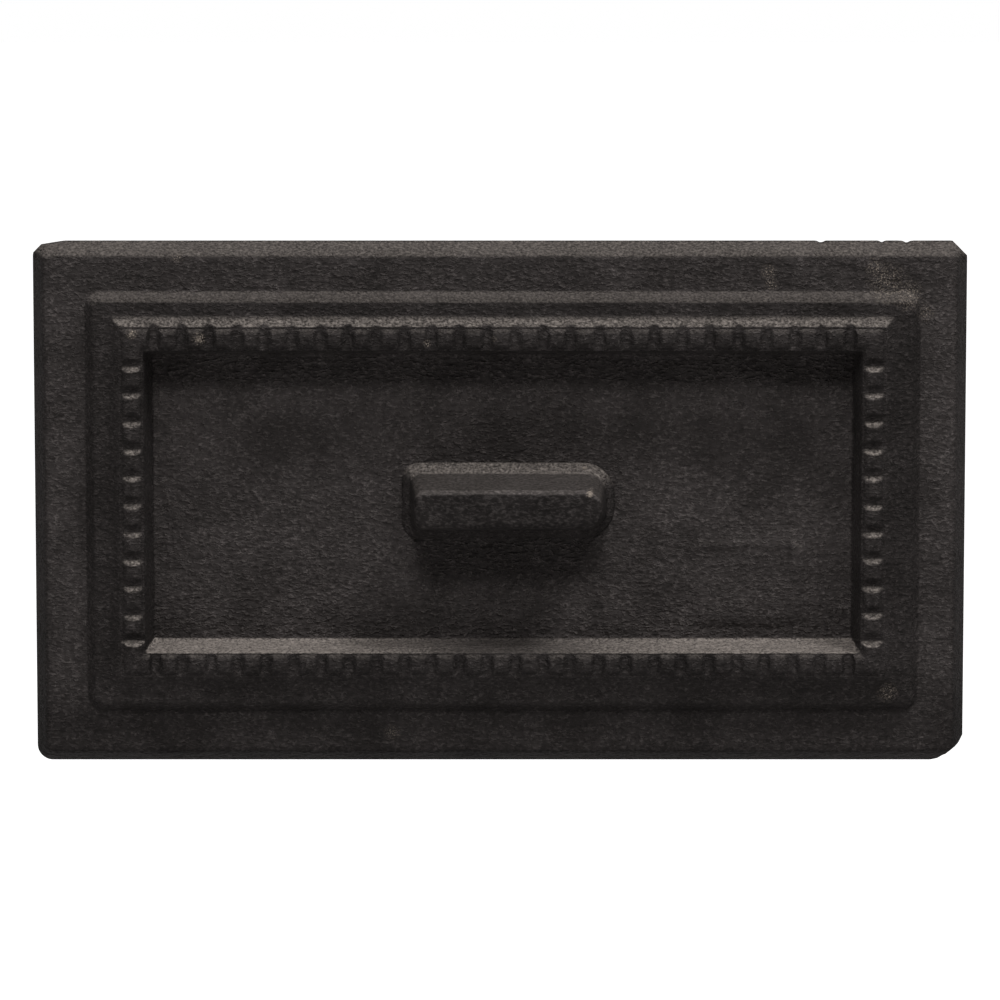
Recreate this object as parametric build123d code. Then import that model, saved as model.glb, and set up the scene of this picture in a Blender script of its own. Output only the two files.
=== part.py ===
from build123d import *
import math
import os

# Soot door for a one-course brick opening: a cast-iron lid with a notched moulding and a bar handle,
# plugged into a cast frame and held there by two leaf springs.
# Millimetres. X to the right, Z up, the front faces -Y. The origin is the centre of the opening in
# the plane of the wall, which is the back face of the frame's flange.

# Sleeve and flange of the frame
opening_width = 129.0
opening_height = 59.0
sleeve_wall = 3.0
sleeve_depth = 46.0
sleeve_corner = 2.0
flange_thickness = 4.0
flange_overlap = 5.0
flange_corner = 3.0

# Mortar claws cast on the top and bottom of the sleeve
claw_length = 14.0
claw_root = 5.0
claw_tip = 9.0
claw_rise = 6.0
claw_spacing = 84.0
claw_from_back = 9.0

# Lid: outline and levels, heights measured from the back of its plate
lid_width = 155.0
lid_height = 87.3
lid_corner = 3.0
plate_height = 3.8
step_height = 5.8
ridge_height = 7.7
panel_height = -0.3
panel_thickness = 3.8

# Lid: the raised border on the plate, whose middle lies a little off that of the plate
border_width = 138.5
border_height = 70.1
border_shift = 0.45
border_rise = 0.4
step_corner = 2.6
panel_corner = 1.0

# Lid: the plate's sloping edge, and the bands of the border from its outline inwards
edge_run = 2.05
step_run = 1.5
ledge_run = 3.0
outer_slope_run = 1.6
ridge_run = 3.3
inner_slope_run = 1.85
edge_arris = 0.7
step_arris = 0.5

# Notches across the moulding
notch_pitch = 4.6
notch_width = 2.5
notch_depth = 1.0
notches_along = 26
notches_up = 11
notch_shift = -0.2

# Bar handle, cast on the panel
handle_reach = 12.0
handle_base_length = 32.8
handle_base_height = 10.0
handle_front_length = 31.0
handle_front_height = 5.8
handle_corner = 2.3
handle_fillet = 2.0
handle_arris = 0.9
handle_shift_x = 1.4
handle_shift_z = -0.4

# Collar on the back of the lid
collar_depth = 14.0
collar_wall = 3.0
collar_corner = 2.0
collar_side_gap = 3.5
collar_top_gap = 1.5

# Leaf springs and their rivets
spring_thickness = 0.8
spring_height = 16.0
spring_gap = 0.1
spring_foot = 12.5
spring_rise_length = 9.0
spring_land = 4.0
spring_lead_length = 7.0
spring_lead_in = 2.2
spring_bend = 5.0
rivet_radius = 1.5
rivet_clearance = 0.05
rivet_head_radius = 2.6
rivet_head_height = 1.3
rivet_tail_radius = 2.4
rivet_tail_height = 1.0
rivet_spacing = 8.0
rivet_from_end = 6.0

# Places that follow from the sizes above
sleeve_width = opening_width + 2 * sleeve_wall
sleeve_height = opening_height + 2 * sleeve_wall
collar_width = opening_width - 2 * collar_side_gap
collar_height = opening_height - 2 * collar_top_gap
lid_back = -flange_thickness
collar_end = lid_back + collar_depth
rivet_place = collar_end - rivet_from_end


def across(y):
    """A plane parallel to the wall at depth y, drawn as seen from the front: x right, y up."""
    return Plane(origin=(0, y, 0), x_dir=(1, 0, 0), z_dir=(0, -1, 0))


def at_height(height):
    """A plane parallel to the wall at a height above the back of the lid's plate."""
    return across(lid_back - height)


def rounded(plane, width, height, corner, rise=0.0):
    """A rounded rectangle on a plane, its centre lifted by rise."""
    return plane * Pos(0, rise, 0) * RectangleRounded(width, height, corner)


def block(y_front, y_back, width, height, corner):
    """A straight rounded block between two depths."""
    outline = rounded(across(y_back), width, height, corner)
    return extrude(outline, amount=y_back - y_front)


def sloping_block(width, height, corner, from_height, to_height, run):
    """A block of the lid between two heights: its foot has the given size, its top is run smaller."""
    top = Plane(origin=(0, lid_back - to_height, 0), x_dir=(-1, 0, 0), z_dir=(0, 1, 0))
    outline = top * RectangleRounded(width - 2 * run, height - 2 * run, corner - run)
    tall = to_height - from_height
    return extrude(outline, amount=tall, taper=-math.degrees(math.atan2(run, tall)))


def tapered_bar(plane, foot, front, tall, width):
    """A bar with a tapered outline: foot and front are its breadths at its foot and at its front."""
    outline = Polyline(
        (-foot / 2, 0), (foot / 2, 0), (front / 2, tall), (-front / 2, tall), close=True
    )
    return extrude(plane * make_face(outline), amount=width / 2, both=True)


def mitred_block(centre, foot_width, foot_height, front_width, front_height, tall):
    """A block tapered both ways with mitred corners, standing on a point and facing the front."""
    seen_from_side = Plane(origin=centre, x_dir=(0, 0, 1), z_dir=(1, 0, 0))
    seen_from_above = Plane(origin=centre, x_dir=(1, 0, 0), z_dir=(0, 0, -1))
    upright = tapered_bar(seen_from_side, foot_height, front_height, tall, foot_width)
    return upright & tapered_bar(seen_from_above, foot_width, front_width, tall, foot_height)


def facing_front(shape, height):
    """The edges of a shape that lie in the plane at a height above the back of the plate."""
    level = lid_back - height
    return shape.edges().filter_by_position(Axis.Y, level - 0.01, level + 0.01)


def notch_rows():
    """The centres of the notches on the four sides, with the direction that each notch runs in."""
    inset = step_run + ledge_run + outer_slope_run + ridge_run / 2
    ridge_x = border_width / 2 - inset
    ridge_z = border_height / 2 - inset
    places = []
    for number in range(notches_along):
        x = (number - (notches_along - 1) / 2) * notch_pitch + notch_shift
        places.append((x, ridge_z, "up"))
        places.append((x, -ridge_z, "up"))
    for number in range(notches_up):
        z = (number - (notches_up - 1) / 2) * notch_pitch
        places.append((ridge_x, z, "along"))
        places.append((-ridge_x, z, "along"))
    return places


def notches():
    """Round-bottomed flutes that cross the moulding and run out on its slopes."""
    radius = (notch_width**2 / 4 + notch_depth**2) / (2 * notch_depth)
    centre_y = lid_back - ridge_height + notch_depth - radius
    reach = ridge_run + 2 * (outer_slope_run + inner_slope_run)
    up = Cylinder(radius, reach)
    along = Rot(0, 90, 0) * up
    flutes = []
    for x, z, direction in notch_rows():
        tool = up if direction == "up" else along
        flutes.append(Pos(x + border_shift, centre_y, z + border_rise) * tool)
    return flutes


def moulded_border():
    """Plate, raised step and moulding, with the recess for the panel cut through the front."""
    plate = sloping_block(lid_width, lid_height, lid_corner, 0, plate_height, edge_run)
    plate = fillet(facing_front(plate, plate_height), edge_arris)
    step = sloping_block(
        border_width, border_height, step_corner, plate_height, step_height, step_run
    )
    step = fillet(facing_front(step, step_height), step_arris)
    inset = step_run + ledge_run
    width = border_width - 2 * inset
    height = border_height - 2 * inset
    moulding = mitred_block(
        (0, lid_back - step_height, 0),
        width,
        height,
        width - 2 * outer_slope_run,
        height - 2 * outer_slope_run,
        ridge_height - step_height,
    )
    return plate + Pos(border_shift, 0, border_rise) * (step + moulding)


def panel_recess():
    """The space above the panel, widening from the panel to the top of the moulding."""
    inset = step_run + ledge_run + outer_slope_run + ridge_run + inner_slope_run
    outline = RectangleRounded(border_width - 2 * inset, border_height - 2 * inset, panel_corner)
    floor = at_height(panel_height) * Pos(border_shift, border_rise, 0) * outline
    depth = ridge_height - panel_height
    draft = math.degrees(math.atan2(inner_slope_run, depth))
    return extrude(floor, amount=depth + 1, taper=-draft)


def collar():
    """The rim that plugs into the sleeve, closed in front by the back of the panel."""
    outside = block(lid_back, collar_end, collar_width, collar_height, collar_corner)
    floor = lid_back - panel_height + panel_thickness
    hollow = block(
        floor,
        collar_end + 1,
        collar_width - 2 * collar_wall,
        collar_height - 2 * collar_wall,
        collar_corner,
    )
    return outside - hollow


def handle():
    """The bar: tapered both ways, with rounded corners and arrises."""
    bar = mitred_block(
        (handle_shift_x, lid_back - panel_height, handle_shift_z),
        handle_base_length,
        handle_base_height,
        handle_front_length,
        handle_front_height,
        handle_reach,
    )
    corners = bar.edges().filter_by(lambda edge: abs((edge @ 0 - edge @ 1).Y) > handle_reach / 2)
    bar = fillet(corners, handle_corner)
    return fillet(facing_front(bar, panel_height + handle_reach), handle_arris)


def handle_root(shape):
    """The edges where the handle stands on the panel."""
    level = lid_back - panel_height
    found = shape.edges().filter_by_position(Axis.Y, level - 0.01, level + 0.01)
    reach = handle_base_length / 2 + 1
    return found.filter_by(lambda edge: abs(edge.center().X - handle_shift_x) < reach
                           and abs(edge.center().Z - handle_shift_z) < handle_base_height)


def rivet_holes():
    """Holes for the rivets, through both sides of the collar."""
    holes = []
    for z in (-rivet_spacing / 2, rivet_spacing / 2):
        hole = Rot(0, 90, 0) * Cylinder(rivet_radius + rivet_clearance, opening_width)
        holes.append(Pos(0, rivet_place, z) * hole)
    return holes


def lid():
    """The whole lid casting."""
    body = moulded_border() + collar()
    body -= panel_recess()
    body -= notches()
    body += handle()
    body = fillet(handle_root(body), handle_fillet)
    return body - rivet_holes()


def claw():
    """One mortar claw, wider at its tip, standing on the sleeve's top."""
    foot = Plane.XY * Rectangle(claw_length, claw_root)
    tip = Plane.XY.offset(claw_rise) * Rectangle(claw_length, claw_tip)
    return loft([foot, tip])


def frame():
    """The whole frame casting."""
    flange = block(
        -flange_thickness,
        0,
        sleeve_width + 2 * flange_overlap,
        sleeve_height + 2 * flange_overlap,
        flange_corner,
    )
    sleeve = block(-flange_thickness, sleeve_depth, sleeve_width, sleeve_height, sleeve_corner + 1)
    body = flange + sleeve
    claw_y = sleeve_depth - claw_from_back
    for x in (-claw_spacing / 2, claw_spacing / 2):
        body += Pos(x, claw_y, sleeve_height / 2) * claw()
        body += Pos(x, claw_y, -sleeve_height / 2) * Rot(180, 0, 0) * claw()
    way = block(
        -flange_thickness - 1, sleeve_depth + 1, opening_width, opening_height, sleeve_corner
    )
    return body - way


def spring_right():
    """The right leaf spring: a flat foot, a rise to the land that presses on the sleeve, a lead-in."""
    foot_x = collar_width / 2 + spring_thickness / 2
    land_x = opening_width / 2 - spring_gap - spring_thickness / 2
    foot_start = lid_back + 1.0
    foot_end = lid_back + spring_foot
    rise_end = foot_end + spring_rise_length
    land_end = rise_end + spring_land
    lead_end = land_end + spring_lead_length
    line = FilletPolyline(
        (foot_x, foot_start, 0),
        (foot_x, foot_end, 0),
        (land_x, rise_end, 0),
        (land_x, land_end, 0),
        (land_x - spring_lead_in, lead_end, 0),
        radius=spring_bend,
    )
    section = Plane(origin=line @ 0, x_dir=(1, 0, 0), z_dir=line % 0)
    leaf = sweep(section * Rectangle(spring_thickness, spring_height), path=line)
    return leaf - rivet_holes()


def rivet():
    """One rivet on the right side: flat head outside the spring, flat tail inside the collar."""
    head_x = collar_width / 2 + spring_thickness
    tail_x = collar_width / 2 - collar_wall
    shank_length = head_x - tail_x
    shank = Cylinder(rivet_radius, shank_length)
    head = Pos(0, 0, shank_length / 2 + rivet_head_height / 2) * Cylinder(
        rivet_head_radius, rivet_head_height
    )
    tail = Pos(0, 0, -shank_length / 2 - rivet_tail_height / 2) * Cylinder(
        rivet_tail_radius, rivet_tail_height
    )
    return Pos((head_x + tail_x) / 2, 0, 0) * Rot(0, 90, 0) * (head + shank + tail)


def rivets():
    """Two rivets in each spring."""
    right = [Pos(0, rivet_place, z) * rivet() for z in (-rivet_spacing / 2, rivet_spacing / 2)]
    left = [mirror(one, about=Plane.YZ) for one in right]
    return Compound(children=right + left)


def write(name, shape):
    export_step(shape, f"parts/{name}.step")


def main():
    os.makedirs("parts", exist_ok=True)
    right = spring_right()
    write("lid", lid())
    write("frame", frame())
    write("spring_right", right)
    write("spring_left", mirror(right, about=Plane.YZ))
    write("spring_rivets", rivets())


main()
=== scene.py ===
import math

import bpy
import numpy as np
from bpy.props import FloatProperty, FloatVectorProperty, IntProperty, PointerProperty
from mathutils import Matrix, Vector, noise


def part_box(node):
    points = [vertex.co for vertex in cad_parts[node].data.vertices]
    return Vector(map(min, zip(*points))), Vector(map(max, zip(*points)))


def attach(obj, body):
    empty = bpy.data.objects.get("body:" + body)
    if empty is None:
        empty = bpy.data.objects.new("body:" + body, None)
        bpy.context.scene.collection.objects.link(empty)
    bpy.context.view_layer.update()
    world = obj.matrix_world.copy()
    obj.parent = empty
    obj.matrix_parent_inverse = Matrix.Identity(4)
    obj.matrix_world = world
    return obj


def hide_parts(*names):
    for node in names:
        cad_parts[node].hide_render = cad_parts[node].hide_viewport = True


bl_info = {
    "name": "Soot Door",
    "version": (1, 0, 0),
    "blender": (4, 5, 0),
    "location": "View3D > Sidebar > Soot Door",
    "description": "Dresses a cast-iron soot door: lid, wall frame, springs, rivets and a plain studio",
    "category": "Object",
}

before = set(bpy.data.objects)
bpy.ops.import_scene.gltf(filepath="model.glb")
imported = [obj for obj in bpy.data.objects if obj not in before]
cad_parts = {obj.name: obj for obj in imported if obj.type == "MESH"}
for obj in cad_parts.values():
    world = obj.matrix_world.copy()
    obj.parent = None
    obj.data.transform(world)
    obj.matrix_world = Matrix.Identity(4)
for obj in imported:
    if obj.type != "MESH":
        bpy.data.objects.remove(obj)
MM = 0.001
LID_LOW, LID_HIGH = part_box("lid")
RIVETS_LOW, RIVETS_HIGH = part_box("spring_rivets")
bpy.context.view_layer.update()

# The lid's plate lies with its back on the front of the frame's flange.
PLATE_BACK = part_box("frame")[0].y
HALF_WIDTH, HALF_HEIGHT = (LID_HIGH.x - LID_LOW.x) / 2, (LID_HIGH.z - LID_LOW.z) / 2

SMOOTH = {"interpolation_type": "SMOOTHSTEP"}


def length(name, description, millimetres):
    """A size property, written in millimetres and held in metres."""
    return FloatProperty(name=name, description=description, default=millimetres * MM, unit="LENGTH",
                         precision=5)


def finish_colour(name, description, code):
    """A colour property from an sRGB hex value."""
    return FloatVectorProperty(name=name, description=description, default=linear(code), size=4,
                               subtype="COLOR", min=0.0, max=1.0)


def linear(code):
    """An sRGB hex value as a linear colour with alpha."""
    parts = [int(code[place:place + 2], 16) / 255 for place in (1, 3, 5)]
    return [part / 12.92 if part <= 0.04045 else ((part + 0.055) / 1.055) ** 2.4 for part in parts] + [1.0]


class SOOTDOOR_LidSizes(bpy.types.PropertyGroup):
    """Bands of the lid from its outline inwards, and their levels above the back of the plate."""
    border_width: length("Border Width", "Width of the raised border on the plate", 138.5)
    border_height: length("Border Height", "Height of the raised border on the plate", 70.1)
    plate_height: length("Plate Height", "Level of the flat margin", 3.8)
    step_height: length("Step Height", "Level of the raised step", 5.8)
    ridge_height: length("Ridge Height", "Level of the top of the moulding", 7.7)
    panel_height: length("Panel Height", "Level of the recessed panel", -0.3)
    edge_run: length("Edge Run", "Width of the sloping edge", 2.05)
    step_run: length("Step Bevel", "Width of the bevel up to the step", 1.5)
    ledge_run: length("Ledge Width", "Width of the flat ledge on the step", 2.6)
    outer_slope_run: length("Outer Slope", "Width of the moulding's outer slope", 1.9)
    ridge_run: length("Bead Width", "Width of the notched bead on the moulding", 3.8)
    bead_drop: length("Bead Drop", "How far the edges of the bead lie below its top", 0.7)
    inner_slope_run: length("Inner Slope", "Width of the slope down to the panel", 1.05)
    border_rise: length("Border Rise", "How far the border sits above the middle", 0.4)
    moulding_rise: length("Moulding Rise", "How far the moulding and the panel sit above the middle", 0.7)
    border_shift: length("Border Shift", "How far the border and the panel sit to the right", 0.45)
    collar_depth: length("Collar Depth", "How far the collar reaches behind the plate", 14.0)
    collar_width: length("Collar Width", "Outer width of the collar", 122.0)
    collar_height: length("Collar Height", "Outer height of the collar", 56.0)
    collar_wall: length("Collar Wall", "Thickness of the collar's wall", 3.0)
    panel_thickness: length("Panel Thickness", "Thickness of the panel", 3.8)


class SOOTDOOR_NotchSizes(bpy.types.PropertyGroup):
    """The notches across the bead of the moulding."""
    pitch: length("Pitch", "Distance from notch to notch", 4.6)
    width: length("Width", "Width of a notch at its mouth", 2.45)
    depth: length("Depth", "Depth of a notch below the top of the moulding", 1.0)
    shift: length("Shift", "How far the long rows stand to the right on the border", -0.2)
    unevenness: length("Unevenness", "How far single notches stray, as in hand-cut patterns", 0.12)
    row_floor: length("Row Floor", "Width of a notch's bottom in the long rows", 1.2)
    column_floor: length("Column Floor", "Width of a notch's bottom in the side columns", 0.5)
    softness: length("Softness", "Rounding of the notches' arrises", 0.1)
    along: IntProperty(name="Notches Along", description="Notches in the top row", default=26, min=1)
    up: IntProperty(name="Notches Up", description="Notches in each side column", default=11, min=1)
    seed: IntProperty(name="Seed", description="Seed of the notches' unevenness", default=3, min=0)


class SOOTDOOR_HandleSizes(bpy.types.PropertyGroup):
    """The bar cast on the panel."""
    reach: length("Reach", "How far the bar stands out from the panel", 12.0)
    base_length: length("Base Length", "Length of the bar at the panel", 32.8)
    base_height: length("Base Height", "Height of the bar at the panel", 10.0)
    front_length: length("Front Length", "Length of the bar at its front", 31.0)
    front_height: length("Front Height", "Height of the bar at its front", 6.15)
    corner: length("Corner", "Radius of the bar's four corners", 2.3)
    arris: length("Arris", "Rounding of the front edge", 0.9)
    foot: length("Foot", "Reach of the rough bevelled foot where the bar meets the panel", 1.4)
    shift_x: length("Shift Right", "How far the bar stands to the right", 1.4)
    shift_z: length("Shift Up", "How far the bar stands above the middle", 0.08)


class SOOTDOOR_RivetSizes(bpy.types.PropertyGroup):
    """The rivets that hold the springs on the collar."""
    head_radius: length("Head Radius", "Radius of the domed head", 2.6)
    head_height: length("Head Height", "Height of the domed head", 1.3)
    shank_radius: length("Shank Radius", "Radius of the shank", 1.5)
    grip: length("Grip", "Thickness of spring and collar together", 3.8)
    tail_radius: length("Tail Radius", "Radius of the flat tail", 2.4)
    tail_height: length("Tail Height", "Height of the flat tail", 1.0)


class SOOTDOOR_Finish(bpy.types.PropertyGroup):
    """Colours and grain of the finishes."""
    iron: finish_colour("Blacked Iron", "Old stove black on the lid", "#2B2827")
    iron_light: finish_colour("Rubbed Iron", "Where the black is rubbed thin", "#3D3938")
    # Dust colour, also laid as painted light on faces that turn up
    dust: finish_colour("Dust", "Soot dust on what faces up", "#8A827C")
    # Also the colour of the bar's two painted highlights
    grit: finish_colour("Grit", "Dry sandy specks near one corner", "#A09488")
    bare_iron: finish_colour("Bare Iron", "Unblacked iron of the wall frame", "#3B3735")
    rust: finish_colour("Rust", "Thin rust bloom on bare iron", "#4A3428")
    spring: finish_colour("Spring Steel", "Blued leaf springs", "#6B6A6C")
    grain: length("Casting Grain", "Size of the grains left by the moulding sand", 0.5)
    relief: length("Casting Relief", "Height of the uneven casting skin", 0.035)


class SOOTDOOR_Studio(bpy.types.PropertyGroup):
    """Camera and light."""
    camera_distance: length("Camera Distance", "From the lens to the lid", 1000.0)
    camera_rise: length("Camera Rise", "How far above the lid's middle the camera looks", 0.24)
    camera_elevation: FloatProperty(name="Camera Elevation", description="Angle above the lid's middle",
                                    default=math.radians(7.47), subtype="ANGLE")
    picture_width: length("Picture Width", "Width that the picture takes in at the lid", 166.75)
    floor_drop: length("Floor Drop", "From the middle of the lid down to the floor", 250.0)
    lamp_width: length("Lamp Width", "Width of each round lamp", 300.0)
    lamp_distance: length("Lamp Distance", "From each lamp to the middle of the lid", 1300.0)
    ambient: FloatProperty(name="Ambient", description="Strength of the light from all round", default=0.045)


def add(tree, kind, settings=None, values=None):
    """Adds a node: settings are its properties, values its inputs by name or in order."""
    node = tree.nodes.new(kind)
    for name, value in (settings or {}).items():
        setattr(node, name, value)
    feed(tree, node, values or {})
    return node


def feed(tree, node, values):
    """Sets a node's inputs. A socket makes a link, and so does a node, from its first output."""
    for name, value in values.items() if isinstance(values, dict) else enumerate(values):
        if isinstance(value, bpy.types.Node):
            value = value.outputs[0]
        if isinstance(value, bpy.types.NodeSocket):
            tree.links.new(value, node.inputs[name])
        else:
            node.inputs[name].default_value = value


def work_out(tree, known, lines):
    """Adds a run of sums: each line names its result, an operation, and what it takes."""
    for name, operation, *values in lines:
        taken = [known[value] if isinstance(value, str) else value for value in values]
        known[name] = add(tree, "ShaderNodeMath", {"operation": operation}, taken)


def open_tree(name, lengths, counts=()):
    """A geometry tree with named inputs, and the sockets that give them."""
    tree = bpy.data.node_groups.new(name, "GeometryNodeTree")
    sockets = [("Geometry", "NodeSocketGeometry")]
    sockets += [(socket, "NodeSocketFloat") for socket in lengths]
    sockets += [(socket, "NodeSocketInt") for socket in counts]
    for socket, kind in sockets + [("Material", "NodeSocketMaterial")]:
        tree.interface.new_socket(socket, in_out="INPUT", socket_type=kind)
    tree.interface.new_socket("Geometry", in_out="OUTPUT", socket_type="NodeSocketGeometry")
    return tree, add(tree, "NodeGroupInput").outputs


def close_tree(tree, shape, given):
    """Ends a tree: its instances are made real and take their material."""
    real = add(tree, "GeometryNodeRealizeInstances", {}, [shape])
    painted = add(tree, "GeometryNodeSetMaterial", {}, {"Geometry": real, "Material": given["Material"]})
    add(tree, "NodeGroupOutput", {}, [painted])


def new_material(name):
    """A material with its node tree and its surface node."""
    material = bpy.data.materials.new(name)
    material.use_nodes = True
    return material, material.node_tree, material.node_tree.nodes["Principled BSDF"]


def new_mesh_object(name, points, faces):
    """A smooth-shaded object at the origin from points in metres."""
    mesh = bpy.data.meshes.new(name)
    mesh.from_pydata([tuple(point) for point in points], [], faces)
    mesh.polygons.foreach_set("use_smooth", [True] * len(mesh.polygons))
    mesh.update()
    made = bpy.data.objects.new(name, mesh)
    bpy.context.scene.collection.objects.link(made)
    return made


def take_modifier_result(made):
    """Replaces an object's mesh by what its modifiers make of it."""
    graph = bpy.context.evaluated_depsgraph_get()
    result = bpy.data.meshes.new_from_object(made.evaluated_get(graph))
    made.modifiers.clear()
    made.data = result


def set_inputs(modifier, values):
    """Sets a node modifier's inputs by the identifiers of its tree's sockets."""
    for item in modifier.node_group.interface.items_tree:
        if item.item_type == "SOCKET" and item.in_out == "INPUT" and item.name in values:
            modifier[item.identifier] = values[item.name]


def rounded_corner(before, corner, after, reach):
    """Four points of a soft corner: a parabola that leaves both lines at reach, or before their middles."""
    start = corner + (before - corner) * min(reach / np.linalg.norm(before - corner), 0.45)
    end = corner + (after - corner) * min(reach / np.linalg.norm(after - corner), 0.45)
    share = np.linspace(0, 1, 4)[:, None]
    return (1 - share) ** 2 * start + 2 * share * (1 - share) * corner + share**2 * end


def side_margin(sizes):
    """The flat margin to the left and right of the border."""
    return (LID_HIGH.x - LID_LOW.x - sizes.border_width) / 2 - sizes.edge_run


def upright_inset(inset, sizes):
    """The inset at the top and bottom of a ring that has the given inset at its left and right."""
    foot = sizes.edge_run + side_margin(sizes)
    upright_foot = (LID_HIGH.z - LID_LOW.z - sizes.border_height) / 2
    return np.interp(inset, [0, sizes.edge_run, foot, foot + 1],
                     [0, sizes.edge_run, upright_foot, upright_foot + 1])


def band_profile(sizes):
    """The lid's section from its outline inwards: insets and heights, with softened corners."""
    foot = sizes.edge_run + side_margin(sizes)
    step_top = foot + sizes.step_run
    moulding = step_top + sizes.ledge_run
    bead = moulding + sizes.outer_slope_run
    mouth = bead + sizes.ridge_run
    panel = mouth + sizes.inner_slope_run
    bead_edge = sizes.ridge_height - sizes.bead_drop
    # Inset, level, softness of the corner, and the longest step of the net up to it
    corners = [
        (0, 0, 0, 1.0), (sizes.edge_run, sizes.plate_height, 0.9, 1.0), (foot, sizes.plate_height, 0.4, 1.5),
        (step_top, sizes.step_height, 0.45, 1.0), (moulding, sizes.step_height, 0.8, 1.0),
        (bead, bead_edge, 0, 0.36),
    ]
    # The bead is rounded, with a fine groove along each of its edges
    bow = [(0.03, 1.12), (0.085, 0.80), (0.16, 0.46), (0.26, 0.20), (0.38, 0.06), (0.5, 0.0),
           (0.62, 0.06), (0.74, 0.20), (0.84, 0.46), (0.915, 0.80), (0.97, 1.12)]
    for share, drop in bow:
        level = sizes.ridge_height - sizes.bead_drop * drop
        corners.append((bead + sizes.ridge_run * share, level, 0, 0.36))
    corners += [(mouth, bead_edge, 0, 0.36), (panel - 0.06 * MM, sizes.panel_height + 0.8 * MM, 0, 0.8)]
    # The slope runs out on the panel in a hollow
    hollow = [(0.07, 0.42), (0.2, 0.2), (0.42, 0.08), (0.8, 0.02), (1.5, 0.0)]
    corners += [(panel + over * MM, sizes.panel_height + lift * MM, 0, 0.5) for over, lift in hollow]
    places = np.array([corner[:2] for corner in corners])
    filled = [places[0]]
    for number in range(1, len(corners)):
        softness, spacing = corners[number][2] * MM, corners[number][3] * MM
        turn = places[number:number + 1]
        if softness:
            turn = rounded_corner(places[number - 1], places[number], places[number + 1], softness)
        last = filled[-1]
        pieces = max(1, math.ceil(np.linalg.norm(turn[0] - last) / spacing))
        filled += [last + (turn[0] - last) * step / pieces for step in range(1, pieces + 1)]
        filled += list(turn[1:])
    return np.array(filled)


def corner_radius(inset, sizes):
    """The corner radius of the ring at an inset: round at the outline and step, sharp at the moulding."""
    step_foot = sizes.edge_run + side_margin(sizes)
    moulding = step_foot + sizes.step_run + sizes.ledge_run
    mouth = moulding + sizes.outer_slope_run + sizes.ridge_run
    panel = mouth + sizes.inner_slope_run
    at = [0, sizes.edge_run, step_foot, step_foot + sizes.step_run, moulding, mouth, panel, panel + 1.5 * MM]
    radii = [2.6, 1.6, 2.6, 1.3, 0.35, 0.5, 0.9, 0.3]
    return np.interp(inset, at, radii) * MM


def round_corners(x, z, half_width, half_height, radius):
    """Moves points of a rectangle's ring onto the same ring with rounded corners."""
    beyond_x = np.abs(x) - (half_width - radius)
    beyond_z = np.abs(z) - (half_height - radius)
    inside = (beyond_x > 0) & (beyond_z > 0)
    scale = np.where(inside, radius / np.maximum(np.hypot(beyond_x, beyond_z), 1e-9), 1.0)
    new_x = np.where(inside, np.sign(x) * (half_width - radius + beyond_x * scale), x)
    new_z = np.where(inside, np.sign(z) * (half_height - radius + beyond_z * scale), z)
    return new_x, new_z


def middle_lines(half_span, pitch, count, shift):
    """Mesh lines between the two inner bands, close together at the arrises of the notches."""
    # Where the lines lie beside a notch's middle at a pitch of 4.6, scaled with the pitch
    places = np.array([-1.38, -1.2, -0.75, -0.3, 0.3, 0.75, 1.2, 1.38]) / 4.6 * pitch
    centres = (np.arange(-1, count + 1) - (count - 1) / 2) * pitch + shift
    lines = (centres[:, None] + places[None, :]).ravel()
    nearest_band = 0.12 * MM
    return np.sort(lines[np.abs(lines) < half_span - nearest_band])


class SOOTDOOR_OT_lid_casting(bpy.types.Operator):
    """Makes the lid: plate, step, moulding, panel, handle, and the collar behind"""
    bl_idname = "sootdoor.lid_casting"
    bl_label = "Lid Casting"

    def execute(self, context):
        settings = context.scene
        front = lid_front(settings.sootdoor_lid, settings.sootdoor_notches)
        cut_notches(front, settings.sootdoor_lid, settings.sootdoor_notches)
        bar = handle_bar(settings.sootdoor_handle, settings.sootdoor_lid)
        raise_bare_pad(front, settings.sootdoor_lid)
        wear_outline(front)
        handle_points = len(bar.data.vertices)
        lid = join_meshes("lid_casting", [front, bar])
        roughen_skin(lid, settings.sootdoor_finish)
        mark_handled(lid, handle_points, settings.sootdoor_lid, settings.sootdoor_handle)
        lid.data.materials.clear()
        lid.data.materials.append(blacked_cast_iron(settings.sootdoor_finish))
        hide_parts("lid")
        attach(lid, "lid_body")
        return {"FINISHED"}


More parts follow.
